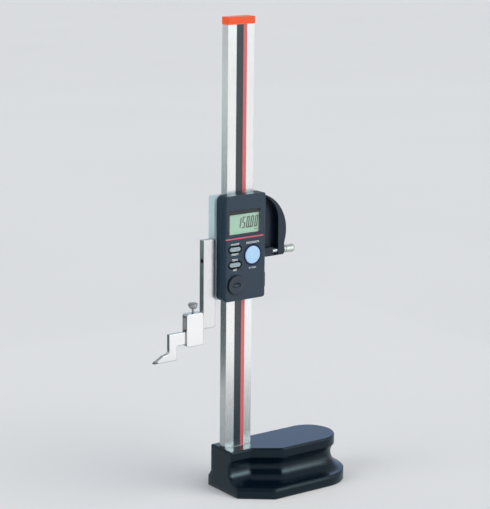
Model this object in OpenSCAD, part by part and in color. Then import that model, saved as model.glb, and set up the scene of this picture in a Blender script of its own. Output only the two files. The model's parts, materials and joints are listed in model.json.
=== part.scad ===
// Digital height gauge: cast base, flat column, slider with display, jaw and scriber.
// Millimetres, +Z up, origin on the floor below the middle of the column.
// The display faces -Y and the scriber reaches towards -X.

/* [Base] */
// Height of the base
base_h = 46; // [40:0.5:60]
// Thickness of the foot
foot_h = 11; // [8:0.5:12]
// Column middle to the flat end face
base_nose = 19.4; // [18:0.2:26]
// Column middle to the centre of the lip's round tail
lip_tail = 88; // [70:1:120]
// Centre of the foot's round tail short of the lip's
tail_step = 6; // [0:0.5:10]
// Column middle to the far edge of the lip
lip_far = 15.4; // [12:0.2:18]
// Radius of the lip's tail
lip_r = 27; // [25:0.5:29]
// Lip to foot step on the far side
foot_far_step = 5; // [2:0.5:7]
// Radius of the foot's tail
foot_r = 38.2; // [35:0.5:42]
// Column middle to the near lip edge at the end face
nose_near = 20.1; // [18:0.2:22]
// Width of the foot ahead of the lip at the end face
foot_nose_step = 12.6; // [8:0.5:16]
// Straight length of the near lip edge at the end face
nose_len = 25.4; // [22:0.2:32]
// Length along X of the slanted near edge
slant_len = 27.6; // [20:0.5:32]
// Length along X of the foot's slanted corner
foot_slant_len = 29.5; // [22:0.5:34]
// Radius of the grip groove
cove_r = 15.3; // [13:0.1:16]
// Depth of the grip groove behind the lip
groove_d = 3.7; // [2:0.1:5]
// Bevel of the lip's upper edge
lip_bevel = 0.8; // [0.4:0.1:1.2]
// Depth of the column's socket
socket_d = 12; // [8:0.5:16]
// Depth of the relief under the foot
relief_d = 2; // [1:0.25:3]
// Width of the rim round the relief
relief_rim = 9; // [6:0.5:12]

/* [Column] */
// Width of the column
column_w = 32; // [28:0.5:32.5]
// Thickness of the column
column_t = 10; // [9:0.1:11]
// Top of the column above the floor
column_top = 487; // [470:1:520]
// Width of the scale film
film_w = 12.6; // [10:0.2:16]
// Middle of the scale film from the column's middle
film_x = 0.7; // [-3:0.1:3]
// Thickness of the scale film
film_t = 0.15; // [0.1:0.01:0.2]
// Thickness of the electrode strip
scale_t = 0.45; // [0.3:0.05:0.7]
// Bare length of the column at each end of the scale
scale_end = 0.2; // [0.1:0.1:5]
// Length of column inside the cap
cap_grip = 4.4; // [3:0.5:8]
// Wall of the cap
cap_wall = 0.6; // [0.5:0.1:2]
// Thickness of the cap's top
cap_top = 3; // [2:0.5:5]
// Diameter of the column bolts
bolt_d = 6; // [5:0.5:6]
// Half the distance between the column bolts
bolt_dx = 9; // [8:0.5:10]
// Length of bolt in the column
bolt_grip = 16; // [10:1:24]

/* [Slider] */
// Height of the scriber's edge above the floor
reading = 150; // [0:1:290]
// Scriber's edge to the underside of the housing
edge_to_housing = 54.6; // [50:0.2:60]
// Width of the metal frame left of the column's middle
frame_left = 29.6; // [29:0.2:34]
// Thickness of the web behind the column
web_t = 2.5; // [2:0.1:4]
// Frame lower than the housing at the top and the bottom
frame_inset = 0.6; // [0.2:0.1:1.5]
// Right rail lower than the housing at the top
rail_drop = 5; // [4:0.5:8]
// Radius of the frame's upper and lower back edges
frame_r = 4; // [2:0.5:6]
// Running clearance on the column
run_clear = 0.05; // [0.03:0.01:0.1]
// Thickness of the gib
gib_t = 2.4; // [1.5:0.1:2.6]
// Width of the gib
gib_w = 6; // [5:0.5:8]
// Gib standing above the housing
gib_proud = 7; // [2:0.5:12]

/* [Housing] */
// Width of the housing
housing_w = 53.2; // [52.4:0.2:56]
// Height of the housing
housing_h = 108.4; // [106:0.2:116]
// Housing in front of the column's face
housing_front = 10; // [9.5:0.1:12]
// Housing behind the column's face
skirt = 2.7; // [2.4:0.1:3.4]
// Wall of the housing
wall = 2; // [1.6:0.1:2.2]
// Corner radius in the front view
corner_r = 5.5; // [4:0.5:6.5]
// Radius of the upright front edges
edge_r = 4.2; // [3:0.2:5]
// Height of the window's middle, as a share of the housing's height
window_at = 0.7435; // [0.73:0.0005:0.76]
// Housing's left side to the window
window_left = 5; // [4.6:0.2:8]
// Window to the housing's right side
window_right = 8.2; // [5:0.2:12]
// Height of the window
window_h = 25; // [22:0.5:27]
// Thickness of the window
window_t = 1.7; // [1.2:0.1:1.9]
// Window's left edge to the visible panel
view_left = 2.9; // [1:0.1:4]
// Visible panel to the window's right edge
view_right = 0.5; // [0.3:0.1:3]
// Window's lower edge to the visible panel
view_low = 0.4; // [0.3:0.1:3]
// Visible panel to the window's upper edge
view_high = 4.4; // [1:0.1:5]
// Height of the trim line, as a share of the housing's height
trim_at = 0.5941; // [0.59:0.0001:0.6]
// Height of the trim line itself
trim_h = 1.3; // [0.8:0.1:2]

/* [Keys] */
// Small keys left of the column's middle
key_x = 12.8; // [12:0.2:14]
// Height of the upper small key, as a share of the housing's height
key_hi_at = 0.4945; // [0.48:0.0005:0.51]
// Height of the lower small key, as a share of the housing's height
key_lo_at = 0.3469; // [0.34:0.0001:0.37]
// Width of a small key
key_w = 13; // [10:0.5:14]
// Height of a small key
key_h = 4.2; // [3.6:0.2:5]
// Large key right of the column's middle
big_x = 9; // [8.4:0.2:10]
// Height of the large key, as a share of the housing's height
big_at = 0.4207; // [0.41:0.0001:0.44]
// Radius of the large key
big_r = 9.1; // [8:0.1:9.6]
// Width of the ring round the large key
ring_w = 1.55; // [1.2:0.05:1.8]
// Travel of a key
key_travel = 0.8; // [0.4:0.1:1]
// Clearance round a key
key_clear = 0.15; // [0.1:0.05:0.3]

/* [Battery and port] */
// Battery left of the column's middle
battery_x = 11.6; // [11:0.2:12]
// Height of the battery, as a share of the housing's height
battery_at = 0.155; // [0.15:0.001:0.18]
// Radius of the battery cover
cover_r = 9.9; // [9.4:0.1:10.4]
// Battery cover standing out of the housing
cover_proud = 2.2; // [1.6:0.1:2.8]
// Radius of the coin cell
cell_r = 8; // [6:0.1:8.2]
// Thickness of the coin cell
cell_t = 3.2; // [2:0.1:3.4]
// Length of the data port cover
port_len = 14.4; // [12:0.2:16]
// Height of the port cover's lower end above the housing's underside
port_z = 9.6; // [8:0.2:12]

/* [Grip and slider clamp] */
// Radius of the grip's outer curve
grip_r = 41.7; // [39:0.1:44]
// Centre of the grip's curve from the column's middle
grip_cx = 19.4; // [18:0.2:22]
// Centre of the grip's curve above the housing's underside
grip_cz = 63.4; // [61:0.2:66]
// Grip's flat underside above the housing's underside
grip_z0 = 37.4; // [36:0.2:38]
// Depth of the grip
grip_t = 10.2; // [9.6:0.2:14]
// Thickness of the grip's back
grip_back = 2; // [1.5:0.1:2.6]
// Column middle to the grip's inner wall
grip_in_x = 51; // [48:0.2:52]
// Radius of the grip's inner curve
grip_in_r = 30; // [28:0.5:31]
// Thickness of the grip's mounting wall
grip_wall = 4; // [3:0.2:6]
// Screw boss beyond the grip's outer curve
boss_out = 3.7; // [2:0.1:5]
// Clamp screw's axis above the grip's underside
clamp_up = 4.5; // [4:0.1:5]
// Clamp screw's axis behind the column's middle plane
clamp_y = 1; // [0.8:0.1:1.4]
// Diameter of the clamp screw
clamp_d = 4; // [3:0.5:4]
// Outer diameter of the bushing
bushing_d = 5.4; // [5:0.2:5.8]
// Diameter of the clamp knob
knob_d = 8.5; // [7:0.1:10]
// Length of the clamp knob with its collar
knob_len = 15.3; // [13:0.1:20]
// Travel of the clamp shoe
shoe_travel = 0.25; // [0.1:0.05:0.3]

/* [Jaw and scriber] */
// Width of the jaw's bar
jaw_w = 14.3; // [13:0.1:16]
// Thickness of the jaw's bar
jaw_t = 7; // [6.2:0.1:7.8]
// Front face of the jaw ahead of the column's middle
jaw_front = 3.6; // [3:0.1:4.2]
// Depth of the jaw's seat in the frame
seat_d = 0.8; // [0.4:0.1:1.2]
// Top of the jaw above the scriber's edge
jaw_top = 118.7; // [112:0.2:124]
// Height of the jaw's arm
arm_h = 12.6; // [10:0.1:14]
// Length of the jaw's arm
arm_len = 19.6; // [16:0.2:24]
// Thickness of the scriber and of the arm
scriber_t = 4.2; // [3.6:0.1:5]
// Height of the scriber's shank
shank_h = 12.65; // [11:0.05:13]
// Top of the shank above the scriber's edge
shank_top = 27.6; // [26:0.1:30]
// Column middle to the outer end of the shank
shank_x = 84.4; // [82:0.2:92]
// Width of the scriber's leg
leg_w = 8.6; // [7:0.1:10]
// Length of the scriber's nose
nose_reach = 18.3; // [16:0.1:22]
// Length of the clamp box
box_len = 19.8; // [17:0.2:22]
// Wall of the clamp box at the front and the back
box_wall = 1.85; // [1.5:0.05:3]
// Floor of the clamp box
box_floor = 2.9; // [2:0.1:4]
// Top of the clamp box
box_roof = 4.6; // [3.6:0.1:6]
// Gap between the clamp box and the jaw's bar
box_gap = 1.6; // [1:0.1:3]
// Clearance round the shank and the arm
slot_clear = 0.06; // [0.04:0.01:0.1]
// Diameter of the thumb screw's thread
thumb_d = 3; // [2.4:0.2:3.4]
// Diameter of the thumb screw's head
thumb_head_d = 9.4; // [8:0.2:12]
// Height of the thumb screw's head
thumb_head_h = 5.6; // [4:0.2:8]
// Bare neck of the thumb screw
thumb_neck = 4.5; // [3:0.5:8]

/* [Hidden] */
$fn = 64;
eps = 0.01;
fit = 0.05;
cw = column_w / 2;
yf = -column_t / 2;
yb = column_t / 2;
// Base
lip_near = 2 * lip_r - lip_far;
foot_far = lip_far + foot_far_step;
foot_near = 2 * foot_r - foot_far;
foot_nose = nose_near + foot_nose_step;
groove_sink = 0.2;
cove_z = foot_h + cove_r - groove_sink;
lip_ledge = 0.3;
lip_drop = groove_d - lip_ledge;
lip_z = round(100 * (cove_z + sqrt(2 * cove_r * lip_drop - lip_drop * lip_drop))) / 100;
lip_h = base_h - lip_z;
groove_off = cove_r - groove_d;
lip_cy = lip_far - lip_r;
foot_cy = foot_far - foot_r;
waist_r = lip_r - groove_d;
slant_x0 = nose_len - base_nose;
slant_x1 = slant_x0 + slant_len;
slant_a = atan2(lip_near - nose_near, slant_len);
socket_z = base_h - socket_d;
bolt_head_r = bolt_d * 0.82;
bolt_head_h = bolt_d;
bolt_seat_z = bolt_head_h + 1.5;
// Column
groove_t = film_t + scale_t;
scale_z0 = base_h + scale_end;
cap_z0 = column_top - cap_grip;
cap_r = 1.5;
scale_z1 = cap_z0 - scale_end;
// Slider planes
s0 = reading;
sb = s0 + edge_to_housing;
st = sb + housing_h;
hw = housing_w / 2;
hy0 = yf - housing_front;
hy1 = yf + skirt;
hin = hy0 + wall;
fy1 = yb + run_clear + web_t;
board_gap = 0.3;
board_t = 1.2;
board_in = wall + 0.3;
ly = yf - board_gap;
by0 = ly - board_t;
chip_w = 9;
chip_t = 1.4;
part_w = 7;
part_h = 4;
part_t = 1;
pickup_z = 20;
pickup_len = 68;
pickup_gap = 0.1;
land_gap = 0.2;
fx1 = hw - wall - land_gap;
gib_back = 0.15;
rail_x = cw + run_clear + gib_t + gib_back;
fz0 = sb + frame_inset;
fz1 = st - frame_inset;
rz1 = st - rail_drop;
screw_r = 1.25;
screw_head_r = 2;
screw_head_h = 2.4;
screw_xl = -(cw + 4);
screw_xr = (rail_x + fx1) / 2;
screw_edge = 6;
screw_lo = sb + screw_edge;
screw_hi = rz1 - screw_edge;
screw_seat = fy1 - screw_head_h - 0.6;
// Window
wz = sb + housing_h * window_at;
wx0 = -hw + window_left;
wx1 = hw - window_right;
wz0 = wz - window_h / 2;
wz1 = wz + window_h / 2;
bezel_t = 0.8;
bezel_lap = 0.6;
panel_t = 2;
panel_lap = 1;
panel_y = hin + bezel_t;
strip_h = 2;
strip_in = 0.5;
tz0 = sb + housing_h * trim_at - trim_h / 2;
tz1 = tz0 + trim_h;
// Keys
kz = [sb + housing_h * key_hi_at, sb + housing_h * key_lo_at];
zb = sb + housing_h * big_at;
key_proud = 0.6;
key_dish_w = 1.3;
key_dish_d = 1.2;
flange_t = 0.9;
flange_gap = 0.1;
flange_y = hin + flange_gap;
pad_y = flange_y + flange_t + 2.2;
// Battery and port
bz = sb + housing_h * battery_at;
cell_y = hin + 0.4;
well_r = cell_r + 0.3;
well_wall = 1.2;
cover_edge = 0.4;
coin_slot_w = 11;
coin_slot_h = 5;
coin_slot_d = 1.5;
cutter_r = (coin_slot_w * coin_slot_w / 4 + coin_slot_d * coin_slot_d) / (2 * coin_slot_d);
cutter_edge = (coin_slot_h * coin_slot_h / 4 + coin_slot_d * coin_slot_d) / (2 * coin_slot_d);
pz0 = sb + port_z;
pz1 = pz0 + port_len;
port_in = 3.2;
port_w = 6;
port_y0 = hy0 + port_in;
port_y1 = port_y0 + port_w;
port_d = 0.7;
port_t = 1.5;
// Grip
gz0 = sb + grip_z0;
gcz = sb + grip_cz;
gy0 = hy1 + 0.1;
gy1 = gy0 + grip_t;
clamp_z = gz0 + clamp_up;
boss_top = clamp_z + bushing_d / 2 + 1.7;
boss_x = grip_cx + sqrt(grip_r * grip_r - (gcz - clamp_z) * (gcz - clamp_z)) + boss_out;
boss_end = grip_in_x - 6.5;
shoe_gap = shoe_travel + 0.05;
shoe_x0 = cw + run_clear + gib_t + shoe_gap;
shoe_len = 3.6;
grip_screw_lo = 14;
grip_screw_top = 20;
grip_screw_z = [gz0 + grip_screw_lo, rz1 - grip_screw_top];
gib_screw_lo = 17;
gib_screw_mid = 30;
gib_screw_top = 10;
gib_screw_z = [sb + gib_screw_lo, gz0 + gib_screw_mid, rz1 - gib_screw_top];
gib_screw_r = 1.5;
// Jaw and scriber
jx1 = -frame_left + seat_d;
jx0 = jx1 - jaw_w;
jy0 = -jaw_front;
jy1 = jy0 + jaw_t;
arm_z0 = s0 + shank_top + fit;
arm_z1 = arm_z0 + arm_h;
arm_x = jx0 - arm_len;
sy1 = jy0 + scriber_t;
bx1 = jx0 - box_gap;
bx0 = bx1 - box_len;
bmx = (bx0 + bx1) / 2;
bmy = (jy0 + sy1) / 2;
slot_z0 = s0 + shank_top - shank_h - slot_clear;
slot_z1 = arm_z1 + 0.7;
box_z0 = slot_z0 - box_floor;
box_z1 = slot_z1 + box_roof;
box_r = 1.8;
pad_t = 0.9;
pad_r = thumb_d / 2 + 0.4;
pad_z = arm_z1 + fit;
tip_t = 1.4;
tip_edge = 0.2;
tip_len = 4.6;
knee_x = 10.9;
knee_z = 6.5;
tip_taper = knee_x * (tip_t - tip_edge) / (knee_z - tip_edge);
nose_root_z = 8.3;
nose_slope = (nose_root_z - knee_z) / (nose_reach - knee_x);
root_cut = 1.5;
leg_r = 2.6;
toe_r = 1.5;
jaw_screw_up = 97.2;
jaw_screw_z = s0 + jaw_screw_up;
jaw_dowel_up = 72;
jaw_dowel_z = s0 + jaw_dowel_up;
jaw_screw_r = 1.5;
jaw_head_r = 2.6;
jaw_head_h = 3;
jaw_thread = 9;

// Solid from an outline in X and Z, between two Y planes
module xz(y0, y1) {
  translate([0, y1, 0])
    rotate([90, 0, 0])
      linear_extrude(y1 - y0)
        children();
}

// Cylinder along Y
module ycyl(x, z, r, y0, y1) {
  translate([x, y0, z])
    rotate([-90, 0, 0])
      cylinder(r = r, h = y1 - y0);
}

// Cylinder along X
module xcyl(y, z, r, x0, x1) {
  translate([x0, y, z])
    rotate([0, 90, 0])
      cylinder(r = r, h = x1 - x0);
}

// Box between two corners
module span(a, b) {
  translate(a)
    cube([b[0] - a[0], b[1] - a[1], b[2] - a[2]]);
}

// Rounded rectangle between two corners
module rrect(x0, y0, x1, y1, r) {
  translate([x0 + r, y0])
    square([x1 - x0 - 2 * r, y1 - y0]);
  translate([x0, y0 + r])
    square([x1 - x0, y1 - y0 - 2 * r]);
  for (x = [x0 + r, x1 - r], y = [y0 + r, y1 - r])
    translate([x, y])
      circle(r);
}

// Pill outline round a middle point
module pill(x, y, w, h) {
  translate([x - (w - h) / 2, y - h / 2])
    square([w - h, h]);
  for (s = [-1, 1])
    translate([x + s * (w - h) / 2, y])
      circle(h / 2);
}

// Cap screw along Y with its head towards +Y and a hexagon socket
module yscrew(x, z, r, head_r, head_h, y0, y_seat) {
  difference() {
    union() {
      ycyl(x, z, r, y0, y_seat + eps);
      ycyl(x, z, head_r, y_seat, y_seat + head_h);
    }
    translate([x, y_seat + head_h * 0.45, z])
      rotate([-90, 0, 0])
        cylinder(r = r * 0.9, h = head_h, $fn = 6);
  }
}

// Base plan: flat end face, slanted near corner, round tail
module base_plan(far, near, nose, x0, x1, tail, r, inset) {
  polygon([[-base_nose + inset, far - inset], [tail, far - inset],
    [tail, -near + inset], [x1 + inset * 0.3, -near + inset],
    [x0 + inset * 0.6, -nose + inset], [-base_nose + inset, -nose + inset]]);
  translate([tail, far - r])
    circle(r - inset, $fn = 96);
}

module lip_plan() {
  base_plan(lip_far, lip_near, nose_near, slant_x0, slant_x1, lip_tail, lip_r, 0);
}

module foot_plan(inset) {
  base_plan(foot_far, foot_near, foot_nose, 1 - base_nose,
    1 - base_nose + foot_slant_len, lip_tail - tail_step, foot_r, inset);
}

// Material under the lip before the groove is cut
module waist_block() {
  intersection() {
    translate([0, 0, foot_h - eps])
      linear_extrude(cove_z - foot_h)
        union() {
          lip_plan();
          translate([-base_nose, -nose_near - groove_off])
            square([slant_x0 + base_nose, cove_r]);
          polygon([[slant_x0, -nose_near], [slant_x1, -lip_near],
            [slant_x1, -lip_near - groove_off / cos(slant_a)],
            [slant_x0, -nose_near - groove_off / cos(slant_a)]]);
          translate([slant_x1, -lip_near - groove_off])
            square([lip_tail - slant_x1, cove_r]);
          translate([lip_tail, lip_cy])
            intersection() {
              circle(waist_r + cove_r, $fn = 96);
              translate([0, -foot_r * 2])
                square(foot_r * 4);
            }
        }
    linear_extrude(base_h)
      foot_plan(0);
  }
  translate([0, 0, cove_z - 2 * eps])
    linear_extrude(lip_z - cove_z + 3 * eps)
      lip_plan();
  translate([-base_nose, 0, 0])
    rotate([90, 0, 90])
      linear_extrude(lip_tail + base_nose)
        polygon([[lip_far - 1, foot_h - 1], [foot_far - 0.5, foot_h - 1],
          [foot_far - 0.5, foot_h], [lip_far, foot_h + 6], [lip_far - 1, foot_h + 6]]);
}

// Side of the upright plane that halves the inner corner, with a little overlap
module corner_side(first) {
  lap = 0.5;
  far = lip_tail + 2 * foot_r;
  translate([slant_x0, -nose_near, 0])
    rotate([0, 0, -slant_a / 2])
      translate([first ? lap - far : -lap, -far, 0])
        cube([far, 2 * far, base_h]);
}

// Groove along the end wall
module nose_groove() {
  translate([-base_nose - 1, -nose_near - groove_off, cove_z])
    rotate([0, 90, 0])
      cylinder(r = cove_r, h = slant_x1 + base_nose, $fn = 96);
}

// Groove along the slanted and straight near walls and round the tail
module side_groove() {
  translate([slant_x0, -nose_near, cove_z])
    rotate([0, 90, -slant_a])
      translate([0, -groove_off, -2 * cove_r])
        cylinder(r = cove_r, h = slant_len / cos(slant_a) + 4 * cove_r, $fn = 96);
  translate([lip_tail, -lip_near - groove_off, cove_z])
    rotate([0, -90, 0])
      cylinder(r = cove_r, h = lip_tail - slant_x1 + 2.5 * cove_r, $fn = 96);
  translate([lip_tail, lip_cy, cove_z]) {
    rotate([0, 0, -90])
      rotate_extrude(angle = 180, $fn = 96)
        translate([waist_r + cove_r, 0])
          circle(cove_r);
    translate([0, waist_r + cove_r, 0])
      sphere(cove_r, $fn = 96);
  }
}

// Walls between the foot and the lip
module waist() {
  difference() {
    intersection() {
      waist_block();
      corner_side(true);
    }
    nose_groove();
  }
  difference() {
    intersection() {
      waist_block();
      corner_side(false);
    }
    side_groove();
  }
}

// Bar along X under z = 0 with a bevelled upper edge at y0
module lip_bar(y0, y1, len) {
  down = 2 * lip_h;
  rotate([90, 0, 90])
    linear_extrude(len, center = true)
      polygon([[y0, -down], [y0, -lip_bevel], [y0 + lip_bevel, 0], [y1, 0], [y1, -down]]);
}

// Lip above the groove, bevelled along its upper edge
module lip() {
  len = 4 * lip_tail;
  translate([lip_tail, lip_cy, 0])
    rotate_extrude($fn = 96)
      polygon([[0, lip_z], [lip_r, lip_z], [lip_r, base_h - lip_bevel],
        [lip_r - lip_bevel, base_h], [0, base_h]]);
  intersection() {
    span([-base_nose, -lip_near, lip_z], [lip_tail, lip_far, base_h]);
    translate([-base_nose, 0, base_h])
      rotate([0, 0, -90])
        lip_bar(0, len, len);
    translate([0, lip_far, base_h])
      rotate([0, 0, 180])
        lip_bar(0, len, len);
    union() {
      translate([0, -nose_near, base_h])
        lip_bar(0, len, 2 * slant_x1);
      intersection() {
        translate([0, -lip_near, base_h])
          lip_bar(0, len, len);
        translate([slant_x0, -nose_near, base_h])
          rotate([0, 0, -slant_a])
            lip_bar(0, len, len);
      }
    }
  }
}

module base() {
  color([0.13, 0.15, 0.18])
  difference() {
    union() {
      linear_extrude(foot_h)
        foot_plan(0);
      waist();
      lip();
    }
    span([-cw, yf, socket_z], [cw, yb, base_h + 1]);
    translate([0, 0, -1])
      linear_extrude(relief_d + 1)
        intersection() {
          foot_plan(relief_rim);
          translate([cw + relief_rim, -foot_near])
            square([lip_tail + foot_r, 2 * foot_r]);
        }
    for (s = [-1, 1])
      translate([s * bolt_dx, 0, 0]) {
        translate([0, 0, -1])
          cylinder(r = bolt_head_r + 0.4, h = bolt_seat_z + 1);
        translate([0, 0, bolt_seat_z - 1])
          cylinder(r = bolt_d / 2 + 0.2, h = socket_z - bolt_seat_z + 2);
      }
  }
}

module column() {
  color([0.82, 0.84, 0.86])
  difference() {
    span([-cw, yf, socket_z], [cw, yb, column_top]);
    span([film_x - film_w / 2, yf - 1, scale_z0], [film_x + film_w / 2, yf + groove_t, scale_z1]);
    for (s = [-1, 1])
      translate([s * bolt_dx, 0, socket_z - 1])
        cylinder(r = bolt_d / 2 + fit, h = bolt_grip + 3);
  }
}

module column_bolts() {
  color([0.25, 0.25, 0.27])
  for (s = [-1, 1])
    translate([s * bolt_dx, 0, bolt_seat_z])
      difference() {
        union() {
          translate([0, 0, -bolt_head_h])
            cylinder(r = bolt_head_r, h = bolt_head_h);
          translate([0, 0, -eps])
            cylinder(r = bolt_d / 2, h = socket_z - bolt_seat_z + bolt_grip);
        }
        translate([0, 0, -bolt_head_h - 1])
          cylinder(r = bolt_d * 0.45, h = bolt_head_h * 0.55 + 1, $fn = 6);
      }
}

module scale_board() {
  color([0.55, 0.45, 0.25])
  span([film_x - film_w / 2, yf + film_t, scale_z0], [film_x + film_w / 2, yf + groove_t, scale_z1]);
}

module scale_film() {
  color([0.2, 0.23, 0.27])
  span([film_x - film_w / 2, yf, scale_z0], [film_x + film_w / 2, yf + film_t, scale_z1]);
}

module column_cap() {
  color([0.9, 0.35, 0.25])
  difference() {
    intersection() {
      translate([0, 0, cap_z0])
        linear_extrude(cap_grip + cap_top)
          rrect(-cw - cap_wall, yf - cap_wall, cw + cap_wall, yb + cap_wall, 1);
      xz(yf - cap_wall - 1, yb + cap_wall + 1)
        rrect(-cw - cap_wall, cap_z0 - 2 * cap_r, cw + cap_wall, column_top + cap_top, cap_r);
    }
    span([-cw, yf, cap_z0 - 1], [cw, yb, column_top]);
  }
}

// Frame behind the housing: lower on the right
module frame_block() {
  span([-frame_left, hy1, fz0], [cw, fy1, fz1]);
  span([0, hy1, fz0], [fx1, fy1, rz1]);
}

// Side profile of the frame, rounded along its upper and lower back edges
module frame_side() {
  translate([-frame_left - 1, 0, 0])
    rotate([90, 0, 90])
      linear_extrude(frame_left + fx1 + 2) {
        translate([ly - 1, fz0 - 1])
          square([hy1 - ly + 1.5, fz1 - fz0 + 2]);
        rrect(hy1 - frame_r, fz0, fy1, fz1, frame_r);
      }
}

module slider_frame() {
  lx = cw + run_clear;
  color([0.72, 0.74, 0.76])
  difference() {
    union() {
      intersection() {
        frame_block();
        frame_side();
      }
      xz(ly, hy1 + eps)
        intersection() {
          rrect(-fx1, sb + wall + land_gap, fx1, st - wall - land_gap, corner_r - wall);
          union() {
            translate([-fx1, sb])
              square([fx1 - lx, housing_h]);
            translate([rail_x, sb])
              square([fx1 - rail_x, rz1 - sb]);
          }
        }
    }
    span([-lx, ly - 5, fz0 - 1], [rail_x, yb + run_clear, fz1 + 1]);
    span([-frame_left - 1, jy0 - fit, fz0 - 1], [-frame_left + seat_d, jy1 + fit, s0 + jaw_top + fit]);
    for (x = [screw_xl, screw_xr], z = [screw_lo, screw_hi]) {
      ycyl(x, z, screw_r + 0.1, ly - 1, fy1);
      ycyl(x, z, screw_head_r + 0.2, screw_seat, fy1 + 1);
    }
    for (z = gib_screw_z)
      xcyl(0, z, gib_screw_r + fit, rail_x - 1, fx1 + 1);
    for (z = grip_screw_z)
      xcyl(gy0 + grip_t / 2, z, 1.5 + fit, rail_x - 1, fx1 + 1);
    xcyl(clamp_y, clamp_z, clamp_d / 2 + 0.3, rail_x - 1, fx1 + 1);
    xcyl((jy0 + jy1) / 2, jaw_screw_z, jaw_screw_r + fit, -frame_left, -lx + 1);
    xcyl((jy0 + jy1) / 2, jaw_dowel_z, 1.5 + fit, -frame_left, -frame_left + seat_d + 6);
  }
}

module gib() {
  color([0.8, 0.7, 0.45])
  translate([cw + run_clear, 0, 0])
    rotate([90, 0, 90])
      linear_extrude(gib_t)
        polygon([[-gib_w / 2, fz0 + 1], [gib_w / 2, fz0 + 1], [gib_w / 2, st + gib_proud - 2],
          [gib_w / 2 - 2, st + gib_proud], [-gib_w / 2 + 1, st + gib_proud],
          [-gib_w / 2, st + gib_proud - 1]]);
}

module gib_screws() {
  color([0.2, 0.2, 0.22])
  for (z = gib_screw_z)
    difference() {
      xcyl(0, z, gib_screw_r, rail_x - gib_back + 0.02, fx1 - 0.4);
      translate([fx1 - 2, 0, z])
        rotate([0, 90, 0])
          cylinder(r = 0.8, h = 3, $fn = 6);
    }
}

// Housing body between its outer faces, moved in by a wall
module housing_body(t, y1) {
  intersection() {
    xz(hy0 - 1, y1)
      rrect(-hw + t, sb + t, hw - t, st - t, corner_r - t);
    translate([0, 0, sb - 1])
      linear_extrude(housing_h + 2)
        union() {
          rrect(-hw + t, hy0 + t, hw - t, hy0 + t + 2.4 * edge_r, edge_r - t);
          translate([-hw + t, hy0 + t + edge_r])
            square([housing_w - 2 * t, y1 - hy0 - t - edge_r]);
        }
  }
}

// Dovetail of the port cover, in plan
module port_dovetail(c, out) {
  polygon([[hw - port_d - c, port_y0 - 0.4 - c], [hw - port_d - c, port_y1 + 0.4 + c],
    [hw, port_y1 + c], [hw + out, port_y1 + c], [hw + out, port_y0 - c], [hw, port_y0 - c]]);
}

module housing() {
  color([0.16, 0.18, 0.21])
  difference() {
    union() {
      difference() {
        housing_body(0, hy1);
        housing_body(wall, hy1 + 1);
      }
      for (x = [screw_xl, screw_xr], z = [screw_lo, screw_hi])
        ycyl(x, z, 2.6, hin - eps, by0);
      ycyl(-battery_x, bz, cover_r + well_wall, hin - eps, cell_y + cell_t + 0.6);
    }
    span([-cw - 0.2, yf - 0.2, sb - 1], [rail_x, hy1 + 1, st + 1]);
    for (x = [screw_xl, screw_xr], z = [screw_lo, screw_hi])
      ycyl(x, z, screw_r + fit, hin + 0.8, by0 + 1);
    span([wx0, hy0 - 1, wz0], [wx1, hin + 1, wz1]);
    for (z = kz) {
      xz(hy0 - 1, hy0 + key_dish_d)
        pill(-key_x, z, key_w + 2 * key_dish_w, key_h + 2 * key_dish_w);
      xz(hy0, hin + 1)
        pill(-key_x, z, key_w + 2 * key_clear, key_h + 2 * key_clear);
    }
    ycyl(big_x, zb, big_r + key_clear + ring_w, hy0 - 1, hy0 + 1.4);
    ycyl(big_x, zb, big_r + key_clear, hy0, hin + 1);
    ycyl(-battery_x, bz, cover_r + 0.1, hy0 - 1, hin);
    ycyl(-battery_x, bz, well_r, hin - 1, by0);
    span([-hw + wall + 0.2, hy0 - 1, tz0], [hw - edge_r, hy0 + 0.3, tz1]);
    translate([0, 0, sb - 1])
      linear_extrude(pz1 - sb + 1 + fit)
        port_dovetail(fit, 3);
    span([hw - wall - 1, port_y0 + 0.8, pz0 + 1.5], [hw, port_y1 - 0.8, pz1 - 1.5]);
  }
}

module housing_screws() {
  color([0.3, 0.3, 0.32])
  for (x = [screw_xl, screw_xr], z = [screw_lo, screw_hi])
    yscrew(x, z, screw_r, screw_head_r, screw_head_h, hin + 1.5, screw_seat);
}

module trim_line() {
  color([0.85, 0.3, 0.35])
  span([-hw + wall + 0.2, hy0, tz0], [hw - edge_r, hy0 + 0.3, tz1]);
}

module window() {
  color([0.75, 0.85, 0.85])
  span([wx0 + fit, hin - window_t, wz0 + fit], [wx1 - fit, hin, wz1 - fit]);
}

module bezel() {
  color([0.1, 0.11, 0.13])
  difference() {
    span([wx0 - bezel_lap, hin, wz0 - bezel_lap], [wx1 + bezel_lap, hin + bezel_t, wz1 + bezel_lap]);
    span([wx0 + view_left, hin - 1, wz0 + view_low],
      [wx1 - view_right, hin + bezel_t + 1, wz1 - view_high]);
  }
}

module lcd_panel() {
  color([0.72, 0.8, 0.72])
  span([wx0 - panel_lap, panel_y, wz0 - panel_lap],
    [wx1 + panel_lap, panel_y + panel_t, wz1 + panel_lap]);
}

module contact_strips() {
  color([0.5, 0.3, 0.35])
  for (z = [wz0 + strip_in, wz1 - strip_in - strip_h])
    span([wx0, panel_y + panel_t, z], [wx1, by0, z + strip_h]);
}

module circuit_board() {
  color([0.1, 0.4, 0.2])
  difference() {
    xz(by0, ly)
      rrect(-hw + board_in, sb + board_in, hw - board_in, st - board_in, corner_r - board_in);
    for (x = [screw_xl, screw_xr], z = [screw_lo, screw_hi])
      ycyl(x, z, screw_r + 0.1, by0 - 1, ly + 1);
  }
}

module board_parts() {
  color([0.08, 0.08, 0.09]) {
    span([film_x - chip_w / 2, by0 - chip_t, wz - chip_w / 2],
      [film_x + chip_w / 2, by0, wz + chip_w / 2]);
    span([big_x - part_w / 2, by0 - part_t, bz], [big_x + part_w / 2, by0, bz + part_h]);
  }
}

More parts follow.
